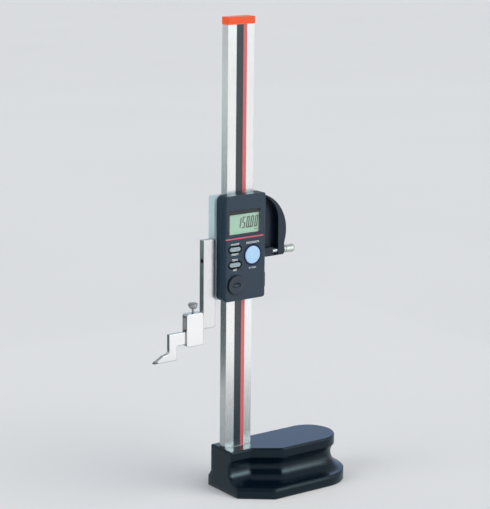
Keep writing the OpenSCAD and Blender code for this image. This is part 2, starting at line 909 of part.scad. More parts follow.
module encoder_pickup() {
  color([0.8, 0.6, 0.2])
  span([film_x - film_w / 2, ly, sb + pickup_z],
    [film_x + film_w / 2, ly + board_gap - pickup_gap, sb + pickup_z + pickup_len]);
}

// Small key: pill cap, flange behind the wall and stem
module small_key(z) {
  color([0.72, 0.74, 0.77]) {
    xz(hy0 - key_proud, flange_y + eps)
      pill(-key_x, z, key_w, key_h);
    xz(flange_y, flange_y + flange_t)
      pill(-key_x, z, key_w + 1.6, key_h + 1.6);
    ycyl(-key_x, z, 1.6, flange_y + flange_t - eps, pad_y);
  }
}

module key_upper() {
  small_key(kz[0]);
}

module key_lower() {
  small_key(kz[1]);
}

module key_big() {
  color([0.55, 0.75, 0.85]) {
    translate([big_x, flange_y + eps, zb])
      rotate([90, 0, 0])
        rotate_extrude($fn = 96)
          polygon([[0, 0], [big_r, 0], [big_r, flange_y - hy0 + 0.4],
            [big_r - 0.6, flange_y - hy0 + 0.8], [big_r * 0.5, flange_y - hy0 + 1.05],
            [0, flange_y - hy0 + 1.15]]);
    ycyl(big_x, zb, big_r + 0.8, flange_y, flange_y + flange_t);
    ycyl(big_x, zb, 2, flange_y + flange_t - eps, pad_y);
  }
}

module key_ring() {
  color([0.12, 0.17, 0.3])
  difference() {
    ycyl(big_x, zb, big_r + key_clear + ring_w, hy0 - 0.3, hy0 + 1.4);
    ycyl(big_x, zb, big_r + key_clear, hy0 - 1, hy0 + 2);
  }
}

module key_pads() {
  color([0.4, 0.4, 0.42]) {
    for (z = kz)
      ycyl(-key_x, z, 2.4, pad_y + key_travel + 0.1, by0);
    ycyl(big_x, zb, 3, pad_y + key_travel + 0.1, by0);
  }
}

module coin_cell() {
  color([0.8, 0.8, 0.8]) {
    ycyl(-battery_x, bz, cell_r, cell_y, cell_y + cell_t * 0.7);
    ycyl(-battery_x, bz, cell_r - 0.8, cell_y, cell_y + cell_t);
  }
}

// Bent leaf between the cell and the board
module cell_contacts() {
  y0 = cell_y + cell_t;
  color([0.85, 0.75, 0.4])
  translate([-battery_x, 0, bz - 2])
    linear_extrude(4)
      polygon([[-5, by0], [-5, by0 - 0.3], [0, by0 - 0.3], [3, y0 + 0.3], [3, y0],
        [5, y0], [5, y0 + 0.3], [3.4, y0 + 0.4], [0.4, by0]]);
}

// Coin slot: what a round-edged disc cuts out of the cover's face
module coin_slot() {
  translate([-battery_x, hy0 - cover_proud + coin_slot_d - cutter_r, bz])
    rotate_extrude($fn = 96)
      translate([cutter_r - cutter_edge, 0])
        circle(cutter_edge);
}

module battery_cover() {
  proud = hin - hy0 + cover_proud;
  color([0.14, 0.16, 0.19])
  difference() {
    union() {
      translate([-battery_x, hin, bz])
        rotate([90, 0, 0])
          rotate_extrude($fn = 96)
            polygon([[0, 0], [cover_r, 0], [cover_r, proud - cover_edge],
              [cover_r - cover_edge, proud], [0, proud]]);
      ycyl(-battery_x, bz, well_r - 0.3, hin - eps, hin + 0.35);
    }
    coin_slot();
  }
}

module data_socket() {
  color([0.85, 0.85, 0.8])
  difference() {
    span([hw - wall - 6.5, port_y0 + 0.9, pz0 + 1.6], [hw - wall - 0.3, by0, pz1 - 1.6]);
    span([hw - wall - 4, port_y0 + 1.7, pz0 + 2.6], [hw, by0 - 0.6, pz1 - 2.6]);
  }
}

module port_cover() {
  color([0.13, 0.15, 0.18])
  translate([0, 0, pz0])
    linear_extrude(port_len)
      port_dovetail(0, port_t - port_d);
}

// Grip outline in X and Z
module grip_outer() {
  intersection() {
    translate([grip_cx, gcz])
      circle(grip_r, $fn = 128);
    translate([fx1 + fit, gz0])
      square([grip_r * 2, grip_r * 2]);
  }
  rrect(fx1 + fit, gz0, boss_x, boss_top + 6, 2);
  translate([fx1 + fit, gz0])
    square([4, 8]);
}

// Hollow of the grip in X and Z
module grip_hollow() {
  iz = gcz + 10.4;
  intersection() {
    union() {
      translate([grip_in_x - grip_in_r, iz])
        circle(grip_in_r, $fn = 128);
      translate([fx1, boss_top])
        square([grip_in_x - fx1, iz - boss_top]);
      translate([boss_end, gz0 + 1.2])
        square([grip_in_x - boss_end, boss_top - gz0]);
    }
    translate([fx1 + grip_wall, gz0])
      square([grip_r * 2, grip_r * 2]);
  }
}

module grip() {
  color([0.15, 0.17, 0.2])
  difference() {
    xz(gy0, gy1)
      grip_outer();
    xz(gy0 - 1, gy1 - grip_back)
      grip_hollow();
    xcyl(clamp_y, clamp_z, clamp_d / 2 + 0.3, fx1 - 1, boss_end + 1);
    xcyl(clamp_y, clamp_z, bushing_d / 2, grip_in_x - 1, boss_x + 1);
    for (z = grip_screw_z)
      xcyl(gy0 + grip_t / 2, z, 1.6, fx1 - 1, fx1 + grip_wall + 1);
    for (z = gib_screw_z)
      xcyl(0, z, 1.2, fx1 - 1, fx1 + grip_wall + 1);
  }
}

module grip_screws() {
  seat = fx1 + grip_wall;
  color([0.3, 0.3, 0.32])
  for (z = grip_screw_z)
    difference() {
      union() {
        xcyl(gy0 + grip_t / 2, z, 1.5, rail_x + 0.5, seat + eps);
        xcyl(gy0 + grip_t / 2, z, 2.6, seat, seat + 1.6);
      }
      translate([seat + 0.7, gy0 + grip_t / 2, z])
        rotate([0, 90, 0])
          cylinder(r = 1.1, h = 2, $fn = 6);
    }
}

module clamp_bushing() {
  color([0.8, 0.8, 0.78])
  difference() {
    xcyl(clamp_y, clamp_z, bushing_d / 2, boss_end + 0.3, boss_x);
    xcyl(clamp_y, clamp_z, clamp_d / 2 + fit, boss_end - 1, boss_x + 1);
  }
}

module clamp_shoe() {
  color([0.8, 0.65, 0.35])
  xcyl(clamp_y, clamp_z, clamp_d / 2 + 0.2, shoe_x0, shoe_x0 + shoe_len);
}

module clamp_screw() {
  color([0.7, 0.7, 0.72])
  xcyl(clamp_y, clamp_z, clamp_d / 2, shoe_x0 + shoe_len + 0.02, boss_x + shoe_gap + knob_len * 0.6);
}

// Knob: collar, groove, slightly flared barrel and domed end
module clamp_knob() {
  x0 = boss_x + shoe_gap + 0.1;
  collar = 2;
  groove = 0.6;
  barrel = knob_len - collar - groove - knob_d / 2;
  color([0.88, 0.89, 0.9])
  difference() {
    union() {
      xcyl(clamp_y, clamp_z, knob_d * 0.435, x0, x0 + collar);
      xcyl(clamp_y, clamp_z, knob_d * 0.34, x0 + collar - eps, x0 + collar + groove + eps);
      translate([x0 + collar + groove, clamp_y, clamp_z])
        rotate([0, 90, 0])
          cylinder(r1 = knob_d * 0.45, r2 = knob_d / 2, h = barrel);
      translate([x0 + knob_len - knob_d / 2, clamp_y, clamp_z])
        sphere(knob_d / 2);
    }
    xcyl(clamp_y, clamp_z, clamp_d / 2 + 0.02, x0 - 1, boss_x + shoe_gap + knob_len * 0.6 + 0.1);
  }
}

module jaw() {
  my = (jy0 + jy1) / 2;
  color([0.85, 0.86, 0.88])
  difference() {
    union() {
      xz(jy0, jy1)
        union() {
          rrect(jx0, arm_z0, jx1, s0 + jaw_top, 2.5);
          translate([jx0, arm_z0])
            square([jaw_w / 2, jaw_top - shank_top - fit]);
        }
      span([arm_x, jy0, arm_z0], [jx0 + 1, sy1, arm_z1]);
    }
    xcyl(my, jaw_screw_z, jaw_screw_r + fit, jx0, jx1 + 1);
    xcyl(my, jaw_screw_z, jaw_head_r + 0.1, jx0 - 1, jx0 + jaw_head_h + 1);
    xcyl(my, jaw_dowel_z, 1.5 + fit, jx1 - 6, jx1 + 1);
  }
}

module jaw_screw() {
  my = (jy0 + jy1) / 2;
  seat = jx0 + jaw_head_h + 1;
  color([0.25, 0.25, 0.27])
  difference() {
    union() {
      xcyl(my, jaw_screw_z, jaw_screw_r, seat - eps, -frame_left + seat_d + jaw_thread);
      xcyl(my, jaw_screw_z, jaw_head_r, seat - jaw_head_h, seat);
    }
    translate([seat - jaw_head_h - 1, my, jaw_screw_z])
      rotate([0, 90, 0])
        cylinder(r = 1.4, h = 2.4, $fn = 6);
  }
}

module jaw_dowel() {
  color([0.6, 0.6, 0.62])
  xcyl((jy0 + jy1) / 2, jaw_dowel_z, 1.5, jx1 - 5.8, jx1 + 5.8);
}

module scriber_clamp() {
  y0 = jy0 - slot_clear - box_wall;
  y1 = sy1 + slot_clear + box_wall;
  color([0.86, 0.87, 0.89])
  difference() {
    xz(y0, y1)
      rrect(bx0, box_z0, bx1, box_z1, box_r);
    span([bx0 - 1, jy0 - slot_clear, slot_z0], [bx1 + 1, sy1 + slot_clear, slot_z1]);
    translate([bmx, bmy, slot_z1 - 1])
      cylinder(r = pad_r + 0.1, h = 2.2);
    translate([bmx, bmy, slot_z1 - 1])
      cylinder(r = thumb_d / 2 + fit, h = box_roof + 2);
  }
}

module thumb_pad() {
  color([0.8, 0.65, 0.35])
  translate([bmx, bmy, pad_z])
    cylinder(r = pad_r, h = pad_t);
}

// Thumb screw: thread, thin neck and bowl-shaped head
module thumb_screw() {
  z0 = pad_z + pad_t + 0.02;
  z1 = box_z1 + 0.3;
  zh = box_z1 + thumb_neck;
  hr = thumb_head_d / 2;
  color([0.85, 0.86, 0.88])
  translate([bmx, bmy, 0])
    rotate_extrude()
      polygon([[0, z0], [thumb_d / 2, z0], [thumb_d / 2, z1], [thumb_d * 0.4, z1 + 0.3],
        [thumb_d * 0.4, zh], [hr * 0.42, zh], [hr * 0.7, zh + thumb_head_h * 0.09],
        [hr * 0.88, zh + thumb_head_h * 0.26], [hr * 0.97, zh + thumb_head_h * 0.5],
        [hr, zh + thumb_head_h * 0.72], [hr, zh + thumb_head_h - 0.4],
        [hr - 0.4, zh + thumb_head_h], [0, zh + thumb_head_h]]);
}

module scriber() {
  xe = -shank_x;
  xl = xe + leg_w;
  zs = s0 + shank_top - shank_h;
  xn = xe - nose_reach;
  color([0.84, 0.85, 0.87])
  xz(jy0, sy1)
    difference() {
      polygon([[xe, s0 + shank_top], [bx1 - 1, s0 + shank_top], [bx1 - 1, s0],
        [xn + tip_len, s0], [xn + tip_len, s0 + tip_t], [xn + tip_taper, s0 + tip_t],
        [xn + knee_x, s0 + knee_z], [xe - root_cut, s0 + nose_root_z - root_cut * nose_slope],
        [xe, s0 + nose_root_z + root_cut]]);
      rrect(xl, s0 - 2 * leg_r, bx1 + 2 * leg_r, zs, leg_r);
      difference() {
        translate([xl - toe_r, s0 - 1])
          square([toe_r + 1, toe_r + 1]);
        translate([xl - toe_r, s0 + toe_r])
          circle(toe_r);
      }
    }
}

module scriber_tip() {
  xn = -shank_x - nose_reach;
  color([0.35, 0.35, 0.37])
  xz(jy0, sy1)
    polygon([[xn, s0], [xn + tip_len, s0], [xn + tip_len, s0 + tip_t], [xn + tip_taper, s0 + tip_t],
      [xn, s0 + tip_edge]]);
}

base();
column();
column_bolts();
scale_board();
scale_film();
column_cap();
slider_frame();
gib();
gib_screws();
housing();
housing_screws();
trim_line();
window();
bezel();
lcd_panel();
contact_strips();
circuit_board();
board_parts();
encoder_pickup();
key_upper();
key_lower();
key_big();
key_ring();
key_pads();
coin_cell();
cell_contacts();
battery_cover();
data_socket();
port_cover();
grip();
grip_screws();
clamp_bushing();
clamp_shoe();
clamp_screw();
clamp_knob();
jaw();
jaw_screw();
jaw_dowel();
scriber_clamp();
thumb_pad();
thumb_screw();
scriber();
scriber_tip();
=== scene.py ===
# Digital height gauge: finishes, display marks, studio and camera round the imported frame.
import json
import math

import bmesh
import bpy
from mathutils import Matrix, Vector


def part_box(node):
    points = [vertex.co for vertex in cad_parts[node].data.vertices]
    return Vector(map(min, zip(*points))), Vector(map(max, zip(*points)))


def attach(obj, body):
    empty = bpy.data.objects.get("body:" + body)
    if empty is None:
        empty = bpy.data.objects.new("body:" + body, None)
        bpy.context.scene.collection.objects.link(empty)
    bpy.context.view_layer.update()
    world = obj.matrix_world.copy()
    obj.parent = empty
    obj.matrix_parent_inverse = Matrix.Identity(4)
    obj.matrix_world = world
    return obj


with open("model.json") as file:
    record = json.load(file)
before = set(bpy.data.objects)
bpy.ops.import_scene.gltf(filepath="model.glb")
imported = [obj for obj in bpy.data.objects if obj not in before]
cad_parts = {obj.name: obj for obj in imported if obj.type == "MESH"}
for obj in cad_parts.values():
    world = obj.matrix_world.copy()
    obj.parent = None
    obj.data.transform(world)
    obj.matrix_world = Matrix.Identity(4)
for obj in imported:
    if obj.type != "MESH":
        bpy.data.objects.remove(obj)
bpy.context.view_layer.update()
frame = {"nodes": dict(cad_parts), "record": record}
NODES = frame["nodes"]
MM = 0.001

# Camera of the photograph, in metres
CAMERA_AT = Vector((-1.11483, -1.54060, 0.68962))
CAMERA_AIM = Vector((0.006456, -0.005589, 0.24876))
CAMERA_ROLL = math.radians(0.541)
CAMERA_LENS = 136.03

# Display digits, in millimetres on the panel
READING = "150.00"
DIGIT_H = 11.8
DIGIT_W = 3.9
DIGIT_PITCH = 5.2
DIGIT_STROKE = 1.45
DIGIT_GAP = 0.09
DIGIT_SLANT = math.tan(math.radians(8.0))
DIGIT_RIGHT = 2.0
DIGIT_BASE = 5.6
SEGMENTS = {"0": "ABCDEF", "1": "BC", "5": "AFGCD"}

# Distance from the window's right edge to that of the part in view, in millimetres
VIEW_IN = 0.5

# Half width of the decimal point, as a share of a digit's stroke
POINT_SHARE = 0.55

# How far ink stands proud, in millimetres
INK_T = 0.02

# Letter heights and places of the unit and the key labels, in millimetres
UNIT_H = 1.8
UNIT_FROM_RIGHT = 4.2
UNIT_UP = 3.5
LABEL_H = 2.0
LABEL_ABOVE = 2.1
LABEL_BELOW = 2.4

# Words above and below each key
LABELS = (
    ("key_upper", "ON/OFF", "PRESET"),
    ("key_lower", "ZERO", "ABS"),
    ("key_ring", "HOLD/DATA", "in / mm"),
)

# Font size and thickening of the strokes, for each unit of letter height
FONT_SHARE = 1.4
BOLD_SHARE = 0.03

# Edge softness of the base's lip and of the cove below it, in millimetres,
# with the height at which the one takes over from the other and half the height that this takes
LIP_EDGE = 2.6
COVE_EDGE = 6.0
COVE_TOP = 34.0
EDGE_CHANGE = 1.0

# Rays with which a material finds the edges that it softens
EDGE_SAMPLES = 6

# Scale film: share of its width that is dark, half the blur between its bands in millimetres, and inks
DARK_SHARE = 0.66
BAND_BLUR = 0.05
FILM_DARK = ((0.004, 0.018, 0.027), (0.007, 0.022, 0.032))
FILM_RED = ((0.69, 0.108, 0.114), (0.74, 0.118, 0.124))

# Display panel at its lower and upper edge; the lighter upper tone is painted light from above
PANEL_TONES = ((0.335, 0.56, 0.39), (0.39, 0.595, 0.475))

# Recess round a small key, painted as shade: width and start and end of its rim's blur in millimetres,
# near-black colour and roughness of the painted shade
KEY_DISH = 1.3
DISH_BLUR = (0.02, 0.10)
DISH_PAINTED_SHADE = (0.0005, 0.001, 0.001, 1.0)
DISH_ROUGH = 0.9

# Studio
FLOOR_SIZE = 40.0
FLOOR_TONES = ((0.80, 0.81, 0.82), (0.83, 0.84, 0.85))
WORLD_TONE = (0.88, 0.93, 1.0, 1.0)
WORLD_LEVEL = 0.42


# Node helpers


def new_material(name):
    """A material with an empty tree, a Principled shader and an output."""
    mat = bpy.data.materials.new(name)
    mat.use_nodes = True
    tree = mat.node_tree
    tree.nodes.clear()
    out = tree.nodes.new("ShaderNodeOutputMaterial")
    shader = tree.nodes.new("ShaderNodeBsdfPrincipled")
    tree.links.new(shader.outputs["BSDF"], out.inputs["Surface"])
    return mat, tree, shader


def coordinates(tree, stretch=(1.0, 1.0, 1.0)):
    """Object coordinates in metres, stretched along the axes."""
    source = tree.nodes.new("ShaderNodeTexCoord")
    mapping = tree.nodes.new("ShaderNodeMapping")
    mapping.inputs["Scale"].default_value = stretch
    tree.links.new(source.outputs["Object"], mapping.inputs["Vector"])
    return mapping.outputs["Vector"]


def noise(tree, size_mm, detail=2.0, stretch=(1.0, 1.0, 1.0)):
    """Noise with features of about size_mm."""
    tex = tree.nodes.new("ShaderNodeTexNoise")
    tex.inputs["Scale"].default_value = 1.0 / (size_mm * MM)
    tex.inputs["Detail"].default_value = detail
    tree.links.new(coordinates(tree, stretch), tex.inputs["Vector"])
    return tex.outputs["Fac"]


def spread(tree, value, low, high, start=0.3, end=0.7):
    """A value between start and end, taken to the range from low to high."""
    node = tree.nodes.new("ShaderNodeMapRange")
    node.inputs["From Min"].default_value = start
    node.inputs["From Max"].default_value = end
    node.inputs["To Min"].default_value = low
    node.inputs["To Max"].default_value = high
    tree.links.new(value, node.inputs["Value"])
    return node.outputs["Result"]


def blend_colours(tree, factor, first, second):
    """A colour that goes from first to second with factor."""
    node = tree.nodes.new("ShaderNodeMix")
    node.data_type = "RGBA"
    tree.links.new(factor, node.inputs["Factor"])
    node.inputs["A"].default_value = (*first, 1.0)
    node.inputs["B"].default_value = (*second, 1.0)
    return node.outputs["Result"]


def relief(tree, shader, height, depth_mm, edge_mm):
    """Bump of depth_mm over edges rounded by edge_mm, on the shader's normal."""
    edge = tree.nodes.new("ShaderNodeBevel")
    edge.samples = EDGE_SAMPLES
    edge.inputs["Radius"].default_value = edge_mm * MM
    bump = tree.nodes.new("ShaderNodeBump")
    bump.inputs["Strength"].default_value = 1.0
    bump.inputs["Distance"].default_value = depth_mm * MM
    tree.links.new(height, bump.inputs["Height"])
    tree.links.new(edge.outputs["Normal"], bump.inputs["Normal"])
    tree.links.new(bump.outputs["Normal"], shader.inputs["Normal"])
    return edge


def scaled(colour, factor):
    """A colour with each channel times factor."""
    return tuple(channel * factor for channel in colour)


# Finishes


def plastic(name, colour, rough, grain_mm=0.35, depth_mm=0.004, edge_mm=0.35, tint=0.12, gloss=0.5):
    """Moulded plastic: fine grain, slightly uneven gloss and colour."""
    mat, tree, shader = new_material(name)
    shader.inputs["Specular IOR Level"].default_value = gloss
    cloud = noise(tree, size_mm=14.0, detail=3.0)
    tone = blend_colours(tree, cloud, scaled(colour, 1.0 - tint), scaled(colour, 1.0 + tint))
    tree.links.new(tone, shader.inputs["Base Color"])
    grain = noise(tree, grain_mm)
    tree.links.new(spread(tree, grain, rough * 0.85, rough * 1.15), shader.inputs["Roughness"])
    relief(tree, shader, grain, depth_mm, edge_mm)
    return mat


def housing_shell(name, colour, rough):
    """Moulded shell whose two small key recesses carry painted shade: near-black and dull."""
    mat = plastic(name, colour, rough)
    tree = mat.node_tree
    shader = next(n for n in tree.nodes if n.type == "BSDF_PRINCIPLED")
    low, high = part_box("key_lower")
    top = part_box("key_upper")[1].z
    half_h = (high.z - low.z) / 2 + KEY_DISH * MM
    middle = Vector(((low.x + high.x) / 2, 0.0, (low.z + top) / 2))
    straight = (high.x - low.x) / 2 + KEY_DISH * MM - half_h

    def maths(kind, first, second=None):
        """One step of arithmetic on sockets and numbers."""
        node = tree.nodes.new("ShaderNodeMath")
        node.operation = kind
        for socket, value in zip(node.inputs, (first, second)):
            if isinstance(value, float):
                socket.default_value = value
            elif value is not None:
                tree.links.new(value, socket)
        return node.outputs["Value"]

    split = tree.nodes.new("ShaderNodeSeparateXYZ")
    tree.links.new(coordinates(tree), split.inputs["Vector"])
    along = maths("ABSOLUTE", maths("SUBTRACT", split.outputs["X"], middle.x))
    along = maths("MAXIMUM", maths("SUBTRACT", along, straight), 0.0)
    across = maths("ABSOLUTE", maths("SUBTRACT", split.outputs["Z"], middle.z))
    across = maths("SUBTRACT", across, (top - low.z) / 2 - (high.z - low.z) / 2)
    away = maths("SQRT", maths("ADD", maths("MULTIPLY", along, along), maths("MULTIPLY", across, across)))
    blur_start, blur_end = [half_h + blur * MM for blur in DISH_BLUR]
    outside = spread(tree, away, 0.0, 1.0, blur_start, blur_end)
    # Painted shade: the recesses round the small keys are turned near-black and rough
    for name_in, inner in (("Base Color", DISH_PAINTED_SHADE), ("Roughness", DISH_ROUGH)):
        socket = shader.inputs[name_in]
        source = socket.links[0].from_socket
        mix = tree.nodes.new("ShaderNodeMix")
        mix.data_type = "RGBA" if name_in == "Base Color" else "FLOAT"
        mix.inputs["A"].default_value = inner
        tree.links.new(outside, mix.inputs["Factor"])
        tree.links.new(source, mix.inputs["B"])
        tree.links.new(mix.outputs["Result"], socket)
    return mat


def enamel(name, colour, rough):
    """Stoved gloss paint on a casting: a slow, faint orange peel, and softer edges in the cove."""
    mat, tree, shader = new_material(name)
    cloud = noise(tree, size_mm=30.0, detail=3.0)
    tone = blend_colours(tree, cloud, scaled(colour, 0.88), scaled(colour, 1.12))
    tree.links.new(tone, shader.inputs["Base Color"])
    peel = noise(tree, size_mm=5.0)
    tree.links.new(spread(tree, peel, rough * 0.85, rough * 1.15), shader.inputs["Roughness"])
    shader.inputs["Specular IOR Level"].default_value = 0.48
    shader.inputs["Specular Tint"].default_value = (0.78, 0.94, 1.0, 1.0)
    edge = relief(tree, shader, peel, depth_mm=0.003, edge_mm=LIP_EDGE)
    split = tree.nodes.new("ShaderNodeSeparateXYZ")
    tree.links.new(coordinates(tree), split.inputs["Vector"])
    change_start = (COVE_TOP - EDGE_CHANGE) * MM
    change_end = (COVE_TOP + EDGE_CHANGE) * MM
    radius = spread(tree, split.outputs["Z"], COVE_EDGE * MM, LIP_EDGE * MM, change_start, change_end)
    tree.links.new(radius, edge.inputs["Radius"])
    return mat


def metal(name, colour, rough, lines=(1.0, 1.0, 1.0), line_mm=0.12, depth_mm=0.0015,
          edge_mm=0.25, solid=1.0):
    """Worked metal: fine lines or an even grain, and faint cloudy wear. A blasted one is less solid."""
    mat, tree, shader = new_material(name)
    shader.inputs["Metallic"].default_value = solid
    cloud = noise(tree, size_mm=22.0, detail=4.0)
    tone = blend_colours(tree, cloud, scaled(colour, 0.95), scaled(colour, 1.03))
    tree.links.new(tone, shader.inputs["Base Color"])
    grain = noise(tree, line_mm, detail=3.0, stretch=lines)
    tree.links.new(spread(tree, grain, rough * 0.8, rough * 1.2), shader.inputs["Roughness"])
    relief(tree, shader, grain, depth_mm, edge_mm)
    return mat


def printed_film(name):
    """Glossy scale film: a dark band and a red band beside it."""
    mat, tree, shader = new_material(name)
    low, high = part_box("scale_film")
    edge_x = low.x + (high.x - low.x) * DARK_SHARE
    split = tree.nodes.new("ShaderNodeSeparateXYZ")
    tree.links.new(coordinates(tree), split.inputs["Vector"])
    blur = BAND_BLUR * MM
    red_side = spread(tree, split.outputs["X"], 0.0, 1.0, edge_x - blur, edge_x + blur)
    cloud = noise(tree, size_mm=40.0)
    dark = blend_colours(tree, cloud, *FILM_DARK)
    red = blend_colours(tree, cloud, *FILM_RED)
    both = tree.nodes.new("ShaderNodeMix")
    both.data_type = "RGBA"
    tree.links.new(red_side, both.inputs["Factor"])
    tree.links.new(dark, both.inputs["A"])
    tree.links.new(red, both.inputs["B"])
    tree.links.new(both.outputs["Result"], shader.inputs["Base Color"])
    shader.inputs["Specular IOR Level"].default_value = 0.70
    grain = noise(tree, size_mm=0.8)
    tree.links.new(spread(tree, grain, 0.20, 0.28), shader.inputs["Roughness"])
    relief(tree, shader, grain, depth_mm=0.002, edge_mm=0.05)
    return mat


def display_panel(name):
    """Reflective display: pale green, with painted light that makes it a little lighter towards its top.
    """
    mat, tree, shader = new_material(name)
    low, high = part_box("lcd_panel")
    split = tree.nodes.new("ShaderNodeSeparateXYZ")
    tree.links.new(coordinates(tree), split.inputs["Vector"])
    # Painted light: the panel lightens from its lower to its upper edge
    rise = spread(tree, split.outputs["Z"], 0.0, 1.0, low.z, high.z)
    tone = blend_colours(tree, rise, *PANEL_TONES)
    tree.links.new(tone, shader.inputs["Base Color"])
    grain = noise(tree, size_mm=0.25, detail=1.0)
    tree.links.new(spread(tree, grain, 0.40, 0.50), shader.inputs["Roughness"])
    relief(tree, shader, grain, depth_mm=0.0008, edge_mm=0.05)
    return mat


def clear_window(name):
    """Clear pane that lets the lamps through to the panel."""
    mat, tree, shader = new_material(name)
    shader.inputs["Base Color"].default_value = (0.96, 0.98, 0.97, 1.0)
    shader.inputs["Transmission Weight"].default_value = 1.0
    shader.inputs["IOR"].default_value = 1.47
    haze = noise(tree, size_mm=6.0, detail=3.0)
    tree.links.new(spread(tree, haze, 0.0, 0.02), shader.inputs["Roughness"])
    path = tree.nodes.new("ShaderNodeLightPath")
    open_to_lamps = tree.nodes.new("ShaderNodeBsdfTransparent")
    mix = tree.nodes.new("ShaderNodeMixShader")
    out = next(n for n in tree.nodes if n.type == "OUTPUT_MATERIAL")
    tree.links.new(path.outputs["Is Shadow Ray"], mix.inputs["Fac"])
    tree.links.new(shader.outputs["BSDF"], mix.inputs[1])
    tree.links.new(open_to_lamps.outputs["BSDF"], mix.inputs[2])
    tree.links.new(mix.outputs["Shader"], out.inputs["Surface"])
    return mat


ALONG_X = (0.01, 1.0, 1.0)
ALONG_Z = (1.0, 1.0, 0.01)
FINISHES = {
    "base_black": enamel("base_black", (0.001, 0.006, 0.013), 0.18),
    "column_steel": metal("column_steel", (0.70, 0.70, 0.70), 0.25, ALONG_Z),
    "bolt_steel": metal("bolt_steel", (0.05, 0.05, 0.055), 0.38),
    "board_green": plastic("board_green", (0.02, 0.11, 0.05), 0.35),
    "film_print": printed_film("film_print"),
    "cap_orange": plastic("cap_orange", (0.99, 0.10, 0.018), 0.30, tint=0.01, gloss=0.3),
    "slider_metal": metal("slider_metal", (0.65, 0.81, 0.87), 0.50, line_mm=0.2, solid=0.4),
    "gib_brass": metal("gib_brass", (0.66, 0.60, 0.48), 0.34, ALONG_Z),
    "housing_black": housing_shell("housing_black", (0.001, 0.021, 0.045), 0.42),
    "trim_red": plastic("trim_red", (0.76, 0.110, 0.150), 0.28, edge_mm=0.1),
    "window_clear": clear_window("window_clear"),
    "bezel_black": plastic("bezel_black", (0.008, 0.022, 0.026), 0.50),
    "lcd_glass": display_panel("lcd_glass"),
    "rubber_grey": plastic("rubber_grey", (0.08, 0.08, 0.085), 0.70),
    "parts_black": plastic("parts_black", (0.012, 0.012, 0.013), 0.45),
    "key_grey": plastic("key_grey", (0.33, 0.42, 0.47), 0.38, tint=0.05),
    "key_blue": plastic("key_blue", (0.46, 0.73, 0.99), 0.38, tint=0.01),
    "ring_navy": plastic("ring_navy", (0.001, 0.005, 0.055), 0.50, gloss=0.2),
    "cell_steel": metal("cell_steel", (0.74, 0.74, 0.73), 0.22),
    "contact_metal": metal("contact_metal", (0.76, 0.58, 0.30), 0.30),
    "cover_black": plastic("cover_black", (0.004, 0.016, 0.032), 0.38),
    "grip_black": plastic("grip_black", (0.003, 0.012, 0.029), 0.42, grain_mm=0.5, gloss=0.4),
    "polished_steel": metal("polished_steel", (0.70, 0.70, 0.70), 0.20, ALONG_X, edge_mm=0.8),
    "carbide_grey": metal("carbide_grey", (0.20, 0.20, 0.21), 0.30),
    "screw_steel": metal("screw_steel", (0.46, 0.46, 0.47), 0.42, line_mm=0.5, depth_mm=0.02),
    "knob_satin": metal("knob_satin", (0.60, 0.62, 0.585), 0.45, solid=0.5),
}

# Nodes whose finish differs from the rest of their slot
OWN_FINISHES = {
    "jaw": metal("jaw_steel", (0.61, 0.61, 0.61), 0.24, ALONG_Z, edge_mm=0.8),
}


def dress_nodes():
    """Gives each CAD node its own finish, or that of its slot in the record."""
    for entry in frame["record"]["subparts"]:
        mesh = NODES[entry["node"]].data
        mesh.materials.clear()
        mesh.materials.append(OWN_FINISHES.get(entry["node"], FINISHES[entry["material_slot"]]))


# Marks on the display and the housing


def mesh_piece(name, bm, mat, body):
    """Links a bmesh as a piece that rides on a body."""
    mesh = bpy.data.meshes.new(name)
    bm.to_mesh(mesh)
    bm.free()
    mesh.materials.append(mat)
    piece = bpy.data.objects.new(name, mesh)
    bpy.context.scene.collection.objects.link(piece)
    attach(piece, body)
    return piece


def flat_prism(bm, outline, y_front, y_back):
    """Closed prism between two Y planes from an outline in X and Z, counter-clockwise from the front."""
    front = [bm.verts.new((x, y_front, z)) for x, z in outline]
    back = [bm.verts.new((x, y_back, z)) for x, z in outline]
    bm.faces.new(front)
    bm.faces.new(list(reversed(back)))
    count = len(outline)
    for i in range(count):
        j = (i + 1) % count
        bm.faces.new((front[j], front[i], back[i], back[j]))


def digit_bars(letter):
    """Outlines of a digit's lit segments with mitred ends, in millimetres from its lower left."""
    gap = DIGIT_GAP
    t = DIGIT_STROKE
    mid = DIGIT_H / 2

    def upright(x0, x1, z0, z1, reach):
        """Bar between two heights, longer by reach on its x0 side."""
        outline = [(x0, z0 - reach[0]), (x1, z0), (x1, z1), (x0, z1 + reach[1])]
        return outline if x1 > x0 else list(reversed(outline))

    def level(z0, z1):
        """Bar across the digit, longer on its z0 side."""
        outline = [(gap, z0), (DIGIT_W - gap, z0), (DIGIT_W - t - gap, z1), (t + gap, z1)]
        return outline if z1 > z0 else list(reversed(outline))

    upper = (mid + gap / 2, DIGIT_H - t - gap, (0.0, t))
    lower = (t + gap, mid - gap / 2, (t, 0.0))
    bars = {
        "A": level(DIGIT_H, DIGIT_H - t),
        "B": upright(DIGIT_W, DIGIT_W - t, *upper),
        "C": upright(DIGIT_W, DIGIT_W - t, *lower),
        "D": level(0.0, t),
        "E": upright(0.0, t, *lower),
        "F": upright(0.0, t, *upper),
        "G": [(t + gap, mid - t / 2), (DIGIT_W - t - gap, mid - t / 2),
              (DIGIT_W - t - gap, mid + t / 2), (t + gap, mid + t / 2)],
    }
    return [bars[key] for key in SEGMENTS[letter]]


